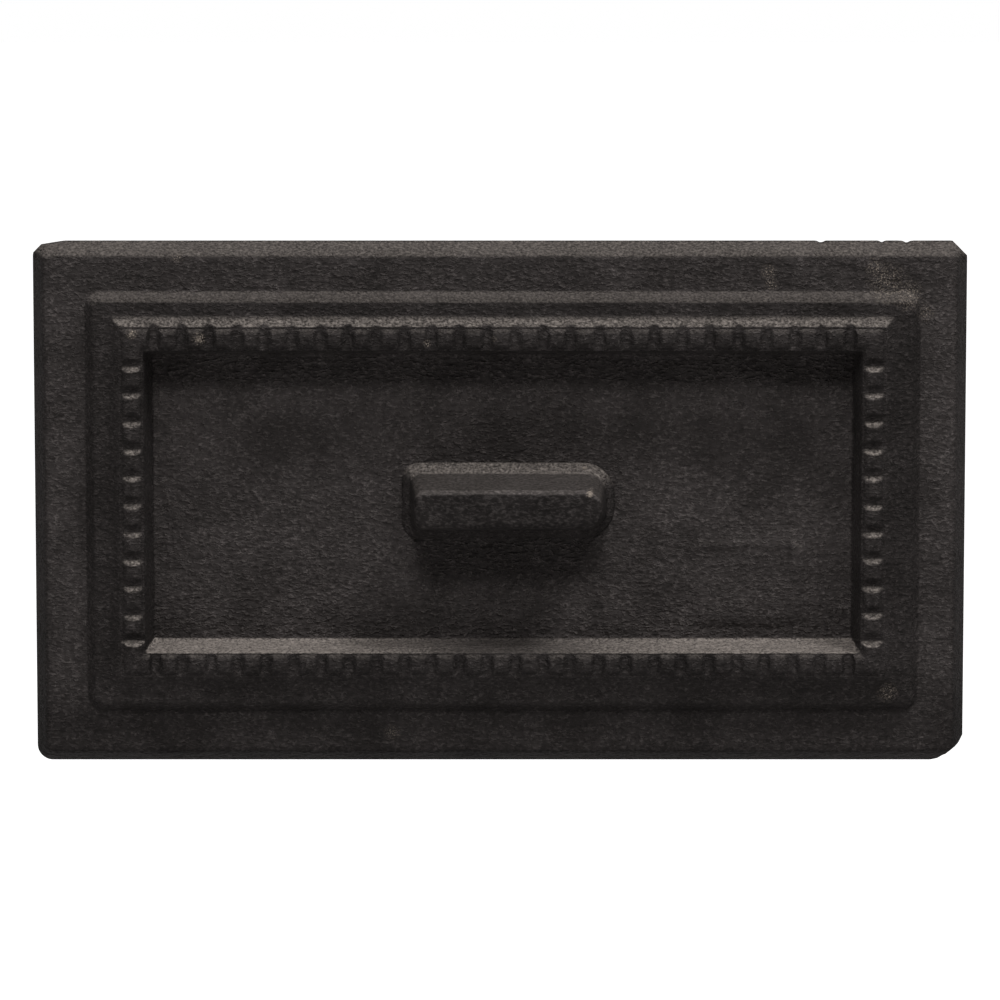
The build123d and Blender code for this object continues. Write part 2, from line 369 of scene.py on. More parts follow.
def lid_front(sizes, notches):
    """The lid's shell: a net of rings for the bands and the panel, closed behind by the collar."""
    profile = band_profile(sizes)
    insets, heights = profile[:, 0], profile[:, 1]
    upright = upright_inset(insets, sizes)
    middle_x = middle_lines(HALF_WIDTH - insets[-1], notches.pitch, notches.along, notches.shift)
    middle_z = middle_lines(HALF_HEIGHT - upright[-1], notches.pitch, notches.up, 0.0)
    lines_x = np.concatenate([-(HALF_WIDTH - insets), middle_x, (HALF_WIDTH - insets)[::-1]])
    lines_z = np.concatenate([-(HALF_HEIGHT - upright), middle_z, (HALF_HEIGHT - upright)[::-1]])
    rings = len(insets)
    ring_x = np.minimum(np.arange(len(lines_x)), np.arange(len(lines_x))[::-1]).clip(max=rings - 1)
    ring_z = np.minimum(np.arange(len(lines_z)), np.arange(len(lines_z))[::-1]).clip(max=rings - 1)
    ring = np.minimum(ring_x[:, None], ring_z[None, :])
    x, z = np.meshgrid(lines_x, lines_z, indexing="ij")
    inset = insets[ring]
    x, z = round_corners(x, z, HALF_WIDTH - inset, HALF_HEIGHT - upright[ring], corner_radius(inset, sizes))
    share = np.clip((inset - sizes.edge_run) / side_margin(sizes), 0, 1)
    x = x + sizes.border_shift * share
    step_top = sizes.edge_run + side_margin(sizes) + sizes.step_run
    z = z + np.interp(inset,
                      [sizes.edge_run, step_top - sizes.step_run, step_top, step_top + sizes.ledge_run],
                      [0, sizes.border_rise, sizes.border_rise, sizes.moulding_rise])
    y = PLATE_BACK - heights[ring]
    points = np.stack([x, y, z], axis=-1).reshape(-1, 3)
    rows, columns = ring.shape
    number = np.arange(rows * columns).reshape(rows, columns)
    faces = net_faces(number, ring)
    boundary = np.concatenate([number[:-1, 0], number[-1, :-1], number[:0:-1, -1], number[0, :0:-1]])
    points, faces = close_behind(points, faces, boundary, sizes)
    return new_mesh_object("lid_front", points, faces)


def net_faces(number, ring):
    """Quads of the net, split along the mitres where two bands meet."""
    faces = []
    for row in range(number.shape[0] - 1):
        for column in range(number.shape[1] - 1):
            a, b = int(number[row, column]), int(number[row + 1, column])
            c, d = int(number[row + 1, column + 1]), int(number[row, column + 1])
            levels = ring[row:row + 2, column:column + 2]
            if levels[0, 0] != levels[1, 1] and levels[0, 1] == levels[1, 0]:
                faces += [(a, b, c), (a, c, d)]
            elif levels[0, 1] != levels[1, 0] and levels[0, 0] == levels[1, 1]:
                faces += [(a, b, d), (b, c, d)]
            else:
                faces.append((a, b, c, d))
    return faces


def close_behind(points, faces, boundary, sizes):
    """The back of the plate, the collar and the back of the panel, as rings joined to the outline."""
    # Every fifth point of the outline is enough for the plain back
    picked = list(range(0, len(boundary), 5))
    outline = points[boundary[picked]]
    collar_x, collar_z = sizes.collar_width / 2, sizes.collar_height / 2
    inner_x, inner_z = collar_x - sizes.collar_wall, collar_z - sizes.collar_wall
    end = PLATE_BACK + sizes.collar_depth
    floor = PLATE_BACK - sizes.panel_height + sizes.panel_thickness
    soft, edge, corner = 0.5 * MM, 2 * MM, 2 * MM
    rings = [
        (HALF_WIDTH - edge, HALF_HEIGHT - edge, PLATE_BACK),
        (collar_x + soft, collar_z + soft, PLATE_BACK),
        (collar_x, collar_z, PLATE_BACK + soft),
        (collar_x, collar_z, (PLATE_BACK + end) / 2),
        (collar_x, collar_z, end - soft),
        (collar_x - soft / 2, collar_z - soft / 2, end - soft / 4),
        (collar_x - soft, collar_z - soft, end),
        (inner_x + soft, inner_z + soft, end),
        (inner_x, inner_z, end - soft),
        (inner_x, inner_z, (floor + end) / 2),
        (inner_x, inner_z, floor + 2 * soft),
        (inner_x - soft, inner_z - soft, floor + soft / 4),
        (inner_x - 2 * soft, inner_z - 2 * soft, floor),
    ]
    rings += [(inner_x * share, inner_z * share, floor) for share in (0.9, 0.75, 0.6, 0.45, 0.3, 0.15)]
    start = len(points)
    made = []
    for ring_x, ring_z, depth in rings:
        x = outline[:, 0] * ring_x / HALF_WIDTH
        z = outline[:, 2] * ring_z / HALF_HEIGHT
        x, z = round_corners(x.clip(-ring_x, ring_x), z.clip(-ring_z, ring_z), ring_x, ring_z, corner)
        made.append(np.column_stack([x, np.full(len(x), depth), z]))
    points = np.vstack([points, *made])
    count = len(picked)
    for place in range(count):
        onward = (place + 1) % count
        last = picked[onward] if onward else len(boundary)
        fine = [int(boundary[index % len(boundary)]) for index in range(picked[place], last + 1)]
        faces.append(tuple([start + place] + [start + onward] + fine[::-1]))
        for ring in range(len(rings) - 1):
            inner, outer = start + (ring + 1) * count, start + ring * count
            faces.append((inner + place, inner + onward, outer + onward, outer + place))
    centre = start + (len(rings) - 1) * count
    faces.append(tuple(range(centre + count - 1, centre - 1, -1)))
    return points, faces


def cut_notches(front, sizes, notches):
    """Cuts the notches into the moulding with a node tree, then keeps the result as a plain mesh."""
    tree = notch_tree()
    modifier = front.modifiers.new("Notches", "NODES")
    modifier.node_group = tree
    ridge = sizes.step_run + sizes.ledge_run + sizes.outer_slope_run + sizes.ridge_run / 2
    set_inputs(modifier, {
        "Pitch": notches.pitch,
        "Width": notches.width,
        "Depth": notches.depth,
        "Top": PLATE_BACK - sizes.ridge_height,
        "Row Middle": sizes.border_shift + notches.shift,
        "Middle X": sizes.border_shift,
        "Middle Z": sizes.moulding_rise,
        "Row Height": sizes.border_height / 2 - ridge,
        "Column Width": sizes.border_width / 2 - ridge,
        "Reach": sizes.ridge_run / 2 + sizes.outer_slope_run,
        "Unevenness": notches.unevenness,
        "Row Floor": notches.row_floor,
        "Column Floor": notches.column_floor,
        "Softness": notches.softness,
        "Notches Along": notches.along,
        "Notches Up": notches.up,
        "Seed": notches.seed,
        "Material": blacked_cast_iron(bpy.context.scene.sootdoor_finish),
    })
    take_modifier_result(front)


def notch_tree():
    """A tree that sinks every point of the moulding that lies above a notch onto the notch's surface."""
    lengths = ["Pitch", "Width", "Depth", "Top", "Row Middle", "Middle X", "Middle Z", "Row Height",
               "Column Width", "Reach", "Unevenness", "Row Floor", "Column Floor", "Softness"]
    tree, given = open_tree("Moulding Notches", lengths, ["Notches Along", "Notches Up", "Seed"])
    place = add(tree, "ShaderNodeSeparateXYZ", {}, [add(tree, "GeometryNodeInputPosition")]).outputs
    depth = notch_row(tree, given, place["Y"], place["X"], given["Row Middle"], place["Z"],
                      given["Middle Z"], given["Row Height"], given["Notches Along"], given["Row Floor"])
    depth = notch_row(tree, given, depth, place["Z"], given["Middle Z"], place["X"],
                      given["Middle X"], given["Column Width"], given["Notches Up"], given["Column Floor"])
    moved = add(tree, "ShaderNodeCombineXYZ", {}, [place["X"], depth, place["Z"]])
    shaped = add(tree, "GeometryNodeSetPosition", {}, {"Geometry": given["Geometry"], "Position": moved})
    close_tree(tree, shaped, given)
    return tree


def notch_row(tree, given, depth, along, along_middle, across, across_middle, row, count, floor):
    """The depth of each point after one pair of notch rows: along runs down the row, across over it."""
    known = dict(given.items())
    # The nearest notch's number, and how far from its middle the point lies
    work_out(tree, known, [
        ("offset", "SUBTRACT", along, along_middle),
        ("half count", "MULTIPLY", count, 0.5),
        ("steps", "DIVIDE", "offset", "Pitch"),
        ("counted", "ADD", "steps", "half count"),
        ("number", "FLOOR", "counted"),
        ("rest", "SUBTRACT", "counted", "number"),
        ("centred", "SUBTRACT", "rest", 0.5),
        ("even away", "MULTIPLY", "centred", "Pitch"),
        ("lifted", "SUBTRACT", across, across_middle),
        ("side", "SIGN", "lifted"),
        # Each notch draws strays of its own: the numbers of the two rows lie far apart
        ("name", "MULTIPLY_ADD", "side", 500.0, "number"),
    ])
    stray = add(tree, "FunctionNodeRandomValue", {"data_type": "FLOAT_VECTOR"},
                {"Min": (-1, -1, -1), "Max": (1, 1, 1), "ID": known["name"], "Seed": given["Seed"]})
    strays = add(tree, "ShaderNodeSeparateXYZ", {}, [stray]).outputs
    work_out(tree, known, [
        ("away", "MULTIPLY_ADD", strays["X"], "Unevenness", "even away"),
        ("deep", "MULTIPLY_ADD", strays["Y"], "Unevenness", "Depth"),
        ("wide", "MULTIPLY_ADD", strays["Z"], "Unevenness", "Width"),
        # From its bottom the notch rises to both sides in plain flanks
        ("half", "MULTIPLY", "wide", 0.5),
        ("half floor", "MULTIPLY", floor, 0.5),
        ("flank", "SUBTRACT", "half", "half floor"),
        ("steepness", "DIVIDE", "deep", "flank"),
        ("away size", "ABSOLUTE", "away"),
        ("from floor", "SUBTRACT", "away size", "half floor"),
        ("on flank", "SMOOTH_MAX", "from floor", 0.0, 0.35 * MM),
        ("rise", "MULTIPLY", "on flank", "steepness"),
        ("bottom", "ADD", "Top", "deep"),
        ("surface", "SUBTRACT", "bottom", "rise"),
        ("sunk", "SMOOTH_MAX", depth, "surface", "Softness"),
        # Only points that lie on this pair of rows, and between its first and last notch, are sunk
        ("spread", "ABSOLUTE", "steps"),
        ("in row", "LESS_THAN", "spread", "half count"),
        ("size", "ABSOLUTE", "lifted"),
        ("off", "SUBTRACT", "size", row),
        ("off size", "ABSOLUTE", "off"),
        ("on ridge", "LESS_THAN", "off size", "Reach"),
        ("chosen", "MULTIPLY", "in row", "on ridge"),
    ])
    return add(tree, "ShaderNodeMix", {"data_type": "FLOAT"},
               {"Factor": known["chosen"], "A": depth, "B": known["sunk"]})


def handle_bar(sizes, lid):
    """The bar as rings of rounded rectangles: bevelled foot, tapered sides, arris, front face."""
    # The foot's rough bevel: height above the panel and how far it stands out, as shares of its reach
    foot_line = [(0.0, 1.0), (0.2, 0.93), (0.45, 0.72), (0.7, 0.42), (0.95, 0.12), (1.15, 0.0)]
    levels = [(height * sizes.foot, outwards * sizes.foot) for height, outwards in foot_line]
    levels += [(height, 0.0) for height in np.linspace(levels[-1][0], sizes.reach - sizes.arris, 18)[1:]]
    # Over the arris, then in on the front face, almost to its middle line
    for angle in np.linspace(0, math.pi / 2, 5)[1:]:
        levels.append((sizes.reach - sizes.arris * (1 - math.sin(angle)),
                       -sizes.arris * (1 - math.cos(angle))))
    for inwards in np.linspace(sizes.arris, sizes.front_height / 2 - 0.02 * MM, 7)[1:]:
        levels.append((sizes.reach, -inwards))
    rings = []
    for height, outwards in levels:
        share = height / sizes.reach
        half_x = (sizes.base_length + (sizes.front_length - sizes.base_length) * share) / 2 + outwards
        half_z = (sizes.base_height + (sizes.front_height - sizes.base_height) * share) / 2 + outwards
        y = PLATE_BACK - lid.panel_height - height
        rings.append([(x + sizes.shift_x, y, z + sizes.shift_z)
                      for x, z in bar_ring(half_x, half_z, max(sizes.corner + outwards, 0.3 * MM))])
    # The foot goes a little into the panel
    rings.insert(0, [(x, y + 0.4 * MM, z) for x, y, z in rings[0]])
    count = len(rings[0])
    faces = [tuple(range(count))]
    for start in range(0, (len(rings) - 1) * count, count):
        for place in range(count):
            onward = (place + 1) % count
            faces.append((start + place, start + count + place, start + count + onward, start + onward))
    last = (len(rings) - 1) * count
    faces.append(tuple(range(last + count - 1, last - 1, -1)))
    return new_mesh_object("handle_bar", [point for ring in rings for point in ring], faces)


def bar_ring(half_x, half_z, plain_radius):
    """Points round one rounded rectangle of the bar, whose right end is rounder than its left one."""
    right_fullness, left_fullness, points_along, points_up = 1.5, 0.8, 44, 14
    radii = {side: min(plain_radius * fullness, half_z * 0.98)
             for side, fullness in ((1, right_fullness), (-1, left_fullness))}
    ring = []
    for turn, (sx, sz) in enumerate(((1, 1), (-1, 1), (-1, -1), (1, -1))):
        radius = radii[sx]
        middle_x, middle_z = sx * (half_x - radius), sz * (half_z - radius)
        for angle in np.linspace(0, math.pi / 2, 8) + turn * math.pi / 2:
            ring.append((middle_x + radius * math.cos(angle), middle_z + radius * math.sin(angle)))
        if turn % 2 == 0:
            far, count = (-sx * (half_x - radii[-sx]), sz * half_z), points_along
        else:
            far, count = (sx * half_x, -sz * (half_z - radius)), points_up
        here = ring[-1]
        ring += [(here[0] + (far[0] - here[0]) * part / count, here[1] + (far[1] - here[1]) * part / count)
                 for part in range(1, count)]
    return ring


def mark_handled(made, handle_points, lid, handle):
    """Stores where hands rub the lid: all of the bar above its foot."""
    handled = made.data.attributes.new("handled", "FLOAT", "POINT")
    height = PLATE_BACK - lid.panel_height - read_points(made.data, "co")[:, 1]
    rubbed = soft_step(height, handle.foot * 0.9, handle.foot * 1.3)
    rubbed[:len(rubbed) - handle_points] = 0
    handled.data.foreach_set("value", rubbed)


def join_meshes(name, parts):
    """One object from several, which are removed."""
    points, faces = [], []
    for part in parts:
        start = len(points)
        points += [vertex.co.copy() for vertex in part.data.vertices]
        faces += [tuple(start + index for index in face.vertices) for face in part.data.polygons]
        bpy.data.objects.remove(part)
    return new_mesh_object(name, points, faces)


def read_points(mesh, name):
    """A vector property of a mesh's points as an array."""
    values = np.empty(len(mesh.vertices) * 3)
    mesh.vertices.foreach_get(name, values)
    return values.reshape(-1, 3)


def write_points(mesh, places):
    """Puts a mesh's points at the given places."""
    mesh.vertices.foreach_set("co", places.ravel())
    mesh.update()


def soft_step(value, low, high):
    """0 below low, 1 above high, smooth between."""
    share = np.clip((value - low) / (high - low), 0, 1)
    return share * share * (3 - 2 * share)


def raise_bare_pad(made, lid):
    """A plain raised pad with a faint rim, low on the right of the panel."""
    places = read_points(made.data, "co")
    middle_x, middle_z, half_x, half_z, corner = 41.2 * MM, -13.6 * MM, 9.3 * MM, 7.2 * MM, 2.5 * MM
    pad_lift, rim_lift, rim_inset, rim_width = 0.48 * MM, 0.3 * MM, 0.9 * MM, 0.7 * MM
    over_x = np.maximum(np.abs(places[:, 0] - middle_x) - half_x + corner, 0)
    over_z = np.maximum(np.abs(places[:, 2] - middle_z) - half_z + corner, 0)
    beyond = np.hypot(over_x, over_z) - corner
    pad = 1 - soft_step(beyond, -0.5 * MM, 0.3 * MM)
    rim = np.exp(-(((beyond + rim_inset) / rim_width) ** 2))
    # Only points that lie on the panel are lifted
    on_panel = np.abs(places[:, 1] - (PLATE_BACK - lid.panel_height)) < 0.4 * MM
    places[:, 1] -= np.where(on_panel, pad * pad_lift + rim * rim_lift, 0)
    write_points(made.data, places)


def wear_outline(made):
    """Takes off the outer corners and the top edge what knocks and rust have taken."""
    places = read_points(made.data, "co")
    x, y, z = places.T
    front = y < PLATE_BACK + 0.01 * MM
    # Each cut is a line across a corner: its direction outwards, and how far out it lies
    cuts = [((0.632, -0.775), 79.9 * MM), ((0.30, -0.954), 63.5 * MM), ((-0.164, 0.986), 54.9 * MM),
            ((-0.707, 0.707), 84.2 * MM), ((0.707, 0.707), 83.9 * MM)]
    for (towards_x, towards_z), limit in cuts:
        over = np.maximum(x * towards_x + z * towards_z - limit, 0)
        x -= np.where(front, over * towards_x, 0)
        z -= np.where(front, over * towards_z, 0)
    # Small chips in the top edge: place, width and depth in millimetres
    chips = [(53.2, 0.45, 0.35), (63.3, 0.4, 0.25), (67.4, 0.5, 0.3)]
    on_edge = soft_step(z, 42.2 * MM, 43.5 * MM)
    for chip_x, width, deep in chips:
        near = np.exp(-(((x - chip_x * MM) / (width * MM)) ** 2))
        z -= np.where(front, near * deep * MM * on_edge, 0)
    write_points(made.data, np.column_stack([x, y, z]))


def roughen_skin(made, finish):
    """Moves each point along its normal by the uneven skin that the moulding sand leaves."""
    places = read_points(made.data, "co")
    normals = read_points(made.data, "normal")
    # Each wave: its size, and how much it counts
    waves = [(15.0 * MM, 1.5), (4.0 * MM, 0.7), (1.7 * MM, 0.9)]
    lift = np.zeros(len(places))
    for size, weight in waves:
        lift += weight * np.array([noise.noise(Vector(place) / size) for place in places])
    # The outline itself keeps its size
    inside = np.minimum(HALF_WIDTH - np.abs(places[:, 0]), HALF_HEIGHT - np.abs(places[:, 2]))
    lift *= soft_step(inside, 0.0, 0.6 * MM)
    places += normals * (lift * finish.relief)[:, None]
    # Nothing stands out past the front of the bar
    places[:, 1] = np.maximum(places[:, 1], LID_LOW.y)
    write_points(made.data, places)


def blacked_cast_iron(finish):
    """Sand-cast grey iron under old stove black: a dull dark grained skin, with soot dust and painted light
    on what faces up, painted shade on faces turned sideways or down, a painted shadow of the bar, and
    painted highlights on its arris.
    """
    found = bpy.data.materials.get("blacked_cast_iron")
    if found:
        return found
    material, tree, surface = new_material("blacked_cast_iron")
    spot = add(tree, "ShaderNodeTexCoord").outputs
    place = spot["Object"]
    handled = add(tree, "ShaderNodeAttribute", {"attribute_name": "handled"}).outputs["Fac"]
    parts = add(tree, "ShaderNodeSeparateXYZ", {}, [place]).outputs
    facing = add(tree, "ShaderNodeSeparateXYZ", {}, [spot["Normal"]]).outputs

    # The black is uneven: patches a few millimetres wide, mottled grain by grain
    patches = add(tree, "ShaderNodeTexNoise", {}, {"Vector": place, "Scale": 1 / (9 * MM), "Detail": 3.0})
    mottling = add(tree, "ShaderNodeTexNoise", {}, {"Vector": place, "Scale": 1 / (0.8 * MM), "Detail": 4.0})
    thin = add(tree, "ShaderNodeMapRange", {}, [product(tree, patches, mottling), 0.15, 0.40])
    black = add(tree, "ShaderNodeMix", {"data_type": "RGBA"},
                {"Factor": thin, "A": finish.iron, "B": finish.iron_light}).outputs["Result"]
    # Grains left by the moulding sand, longer than they are high, and rubbed lighter on their tops
    lying = add(tree, "ShaderNodeVectorMath", {"operation": "MULTIPLY"}, [place, (0.7, 1.0, 1.3)])
    grains = add(tree, "ShaderNodeTexNoise", {},
                 {"Vector": lying, "Scale": 1 / finish.grain, "Detail": 2.5, "Roughness": 0.55})
    rubbed = add(tree, "ShaderNodeMapRange", SMOOTH, [grains, 0.42, 0.68, 0.7, 1.8])
    height = add(tree, "ShaderNodeMath", {"operation": "SUBTRACT"}, [PLATE_BACK, parts["Y"]])
    # The black's tone in each band, with painted shade and the bar's painted highlight
    tone_with_painted_shade = product(tree, black_tone_with_painted_shade(tree, parts, facing, height, handled), rubbed)
    black = add(tree, "ShaderNodeVectorMath", {"operation": "SCALE"}, {0: black, "Scale": tone_with_painted_shade})

    # Dust and painted light on what faces up, grain by grain: faces that turn up are painted lighter, partly
    # as settled dust and partly as painted light; none on the handle, which is rubbed clean
    # Faces that turn up are painted lighter: partly dust, partly painted light
    level = add(tree, "ShaderNodeMapRange", SMOOTH, [facing["Z"], 0.2, 0.62])
    specks = add(tree, "ShaderNodeTexNoise", {}, {"Vector": place, "Scale": 1 / (0.42 * MM), "Detail": 2.0})
    speckled = add(tree, "ShaderNodeMapRange", {}, [specks, 0.35, 0.65, 0.28, 1.72])
    clean = add(tree, "ShaderNodeMath", {"operation": "MULTIPLY_ADD"}, [handled, -0.85, 1.0])
    dust_and_painted_light = product(tree, level, speckled, clean, dust_with_painted_light_and_shadow(tree, parts, height))
    colour = add(tree, "ShaderNodeMix", {"data_type": "RGBA"},
                 {"Factor": dust_and_painted_light, "A": black, "B": finish.dust}).outputs["Result"]

    # The back and the hidden inside keep the sheen of bare iron
    behind = add(tree, "ShaderNodeMapRange", SMOOTH, [facing["Y"], 0.3, 0.7])
    inside = add(tree, "ShaderNodeMapRange", SMOOTH, [height, -1.5 * MM, -0.6 * MM, 1.0, 0.0])
    hidden = add(tree, "ShaderNodeMath", {"operation": "MAXIMUM"}, [behind, inside])

    # The relief of the grains, over wider hollows
    coarse = add(tree, "ShaderNodeTexNoise", {},
                 {"Vector": lying, "Scale": 1 / (2.4 * finish.grain), "Detail": 1.0})
    raised = product(tree, add(tree, "ShaderNodeMapRange", SMOOTH, [grains, 0.44, 0.74]), 0.3)
    skin = add(tree, "ShaderNodeMath", {"operation": "MULTIPLY_ADD"}, [coarse, 0.45, raised])
    smooth = add(tree, "ShaderNodeMath", {"operation": "MULTIPLY_ADD"}, [handled, -0.6, 1.0])
    relief = add(tree, "ShaderNodeBump", {}, {"Height": skin, "Strength": smooth, "Distance": 1.4 * MM})
    dryness = add(tree, "ShaderNodeMapRange", {}, {"Value": mottling, "To Min": 0.56, "To Max": 0.78})
    feed(tree, surface, {
        "Base Color": grit_and_painted_glints(tree, place, colour, finish),
        "Roughness": dryness,
        "Specular IOR Level": add(tree, "ShaderNodeMix", {}, {"Factor": hidden, "A": 0.03, "B": 0.3}),
        "Normal": relief,
    })
    return material


def product(tree, first, *others):
    """The product of several values."""
    for other in others:
        first = add(tree, "ShaderNodeMath", {"operation": "MULTIPLY"}, [first, other])
    return first


def smooth_shares(tree, zones):
    """For each zone a value that goes smoothly from one level to another between two places."""
    return {name: add(tree, "ShaderNodeMapRange", SMOOTH, values) for name, values in zones.items()}


def black_tone_with_painted_shade(tree, parts, facing, height, handled):
    """How light the black is: dull on panel and margin, deep on the step, the bead and the bar, with painted
    shade on faces that turn sideways or down and towards the bottom, darker towards the top edge, and a
    painted highlight on the bar's upper arris.
    """
    sideways = add(tree, "ShaderNodeMath", {"operation": "ABSOLUTE"}, [facing["X"]])
    # Each zone: what it follows, where it starts and ends, and its levels there
    share = smooth_shares(tree, {
        # Painted shade, darker towards the bottom edge; then darker towards the top edge
        "low": (parts["Z"], -35 * MM, -28 * MM, 0.62, 1.0),
        "upper": (parts["Z"], 33 * MM, 37 * MM, 1.0, 0.86),
        # Painted shade on faces that turn sideways and on faces that turn down
        "slopes": (sideways, 0.3, 0.9, 1.0, 0.6),
        "painted_under_shade": (facing["Z"], -0.7, -0.2, 0.7, 1.0),
        "step": (height, 4.4 * MM, 5.4 * MM),
        "bead": (height, 6.2 * MM, 6.9 * MM),
        # Faces that turn up and forwards carry the bar's painted highlight
        "upwards": (facing["Z"], 0.2, 0.5),
        "forwards": (facing["Y"], -0.45, -0.25, 1.0, 0.0),
    })
    margin = product(tree, share["low"], share["upper"], share["slopes"], share["painted_under_shade"], 1.65)
    tone_with_painted_shade = add(tree, "ShaderNodeMix", {}, {"Factor": share["step"], "A": margin, "B": 0.95})
    bead = product(tree, share["slopes"], share["painted_under_shade"], 1.12)
    tone_with_painted_shade = add(tree, "ShaderNodeMix", {}, {"Factor": share["bead"], "A": tone_with_painted_shade, "B": bead})
    # The bar is deep black, with a painted highlight on its upper arris, where its faces turn up and
    # forwards
    arris = product(tree, share["upwards"], share["forwards"])
    bar = add(tree, "ShaderNodeMix", {}, {"Factor": arris, "A": 0.76, "B": 1.8})
    return add(tree, "ShaderNodeMix", {}, {"Factor": handled, "A": tone_with_painted_shade, "B": bar})


def dust_with_painted_light_and_shadow(tree, parts, height):
    """How thick the dust and painted light lie on what faces up, most in the recess; low in the recess it is
    thin in the middle, a painted shadow of the bar, and thick towards the ends, painted light.
    """
    over = add(tree, "ShaderNodeMath", {"operation": "ABSOLUTE"}, [parts["X"]])
    upright = add(tree, "ShaderNodeMath", {"operation": "ABSOLUTE"}, [parts["Z"]])
    share = smooth_shares(tree, {
        "bevel": (height, 3.7 * MM, 4.1 * MM),
        "slope": (height, 5.7 * MM, 6.0 * MM),
        # Painted shadow of the bar low in the recess, thin in the middle, with painted light towards the
        # ends
        "painted_bar_shadow": (over, 2 * MM, 32 * MM, 0.34, 1.7),
        "low": (parts["Z"], -21 * MM, -17 * MM, 1.0, 0.0),
        "within width": (over, 59.0 * MM, 59.6 * MM, 1.0, 0.0),
        "within height": (upright, 24.7 * MM, 24.9 * MM, 1.0, 0.0),
        "bead": (height, 6.95 * MM, 7.1 * MM),
        "row": (upright, 24.2 * MM, 24.6 * MM),
    })
    outside = add(tree, "ShaderNodeMix", {}, {"Factor": share["bevel"], "A": 0.33, "B": 0.22})
    outside = add(tree, "ShaderNodeMix", {}, {"Factor": share["slope"], "A": outside, "B": 0.62})
    recess = add(tree, "ShaderNodeMix", {}, {"Factor": share["low"], "A": 1.0, "B": share["painted_bar_shadow"]})
    recess = product(tree, recess, 0.6)
    mouth = product(tree, share["within width"], share["within height"])
    whole = add(tree, "ShaderNodeMix", {}, {"Factor": mouth, "A": outside, "B": recess})
    # On the beads of the long rows it lies thin
    beads = product(tree, share["bead"], share["row"])
    return add(tree, "ShaderNodeMix", {}, {"Factor": beads, "A": whole, "B": 0.15})


def grit_and_painted_glints(tree, place, colour, finish):
    """Pale dry grit and rubbed nicks, and two painted highlights on the bar's arris: x, z and radius in
    millimetres, and how solid each is.
    """
    spots = [
        (64.0, 37.0, 4.0, 0.55), (67.5, 35.0, 3.0, 0.55), (62.0, 39.5, 2.0, 0.6), (44.4, 38.8, 1.6, 0.6),
        (44.8, 36.8, 1.4, 0.6), (70.5, 32.0, 1.8, 0.5), (-60.8, 28.9, 1.1, 1.1), (-49.7, 28.0, 1.3, 1.1),
        # The last two spots on the next line sit on the bar's arris: painted highlights, not grit
        (64.5, -31.3, 2.0, 0.45), (-18.0, -38.5, 1.6, 0.4), (14.9, 2.7, 0.8, 1.4), (14.1, 5.7, 0.5, 1.1),
        (-53.4, 41.2, 1.3, 0.5), (-12.0, 27.2, 0.8, 0.7), (-1.0, 28.0, 0.6, 0.7),
    ]
    flat = add(tree, "ShaderNodeVectorMath", {"operation": "MULTIPLY"}, [place, (1, 0, 1)])
    grit = add(tree, "ShaderNodeTexNoise", {}, {"Vector": place, "Scale": 1 / (0.26 * MM), "Detail": 1.0})
    grains = add(tree, "ShaderNodeMapRange", {}, [grit, 0.5, 0.68])
    near = 0.0
    for x, z, radius, solid in spots:
        away = add(tree, "ShaderNodeVectorMath", {"operation": "DISTANCE"}, [flat, (x * MM, 0, z * MM)])
        close = add(tree, "ShaderNodeMapRange", {}, [away.outputs["Value"], 0.0, radius * MM, solid, 0.0])
        near = add(tree, "ShaderNodeMath", {"operation": "MAXIMUM"}, [close, near])
    dense = add(tree, "ShaderNodeMath", {"operation": "SUBTRACT"}, [near, 0.55])
    share = add(tree, "ShaderNodeMath", {"operation": "MAXIMUM"}, [product(tree, near, grains, 1.5), dense])
    share = add(tree, "ShaderNodeMath", {"operation": "MINIMUM"}, [share, 1.0])
    return add(tree, "ShaderNodeMix", {"data_type": "RGBA"},
               {"Factor": share, "A": colour, "B": finish.grit}).outputs["Result"]


def bare_cast_iron(finish):
    """Sand-cast grey iron as it left the mould, with a thin rust bloom: dull, grained and warmer."""
    material, tree, surface = new_material("bare_cast_iron")
    place = add(tree, "ShaderNodeTexCoord").outputs["Object"]
    bloom = add(tree, "ShaderNodeTexNoise", {}, {"Vector": place, "Scale": 1 / (7 * MM), "Detail": 6.0})
    share = add(tree, "ShaderNodeMapRange", {}, [bloom, 0.48, 0.72])
    colour = add(tree, "ShaderNodeMix", {"data_type": "RGBA"},
                 {"Factor": share, "A": finish.bare_iron, "B": finish.rust}).outputs["Result"]
    grain = add(tree, "ShaderNodeTexNoise", {},
                {"Vector": place, "Scale": 1 / finish.grain, "Detail": 3.0, "Roughness": 0.6})
    bump = add(tree, "ShaderNodeBump", {}, {"Height": grain, "Strength": 0.6, "Distance": 0.18 * MM})
    feed(tree, surface, {"Base Color": colour, "Roughness": 0.68, "Normal": bump})
    return material


def blued_spring_steel(finish):
    """Rolled and tempered strip: a thin even blue-grey oxide over metal, with fine rolling lines."""
    material, tree, surface = new_material("blued_spring_steel")
    place = add(tree, "ShaderNodeTexCoord").outputs["Object"]
    stretched = add(tree, "ShaderNodeMapping", {}, {"Vector": place, "Scale": (1.0, 0.05, 1.0)})
    lines = add(tree, "ShaderNodeTexNoise", {},
                {"Vector": stretched, "Scale": 1 / (0.25 * MM), "Detail": 2.0})
    roughness = add(tree, "ShaderNodeMapRange", {}, {"Value": lines, "To Min": 0.32, "To Max": 0.5})
    bump = add(tree, "ShaderNodeBump", {}, {"Height": lines, "Strength": 0.3, "Distance": 0.02 * MM})
    feed(tree, surface,
         {"Base Color": finish.spring, "Metallic": 1.0, "Roughness": roughness, "Normal": bump})
    return material


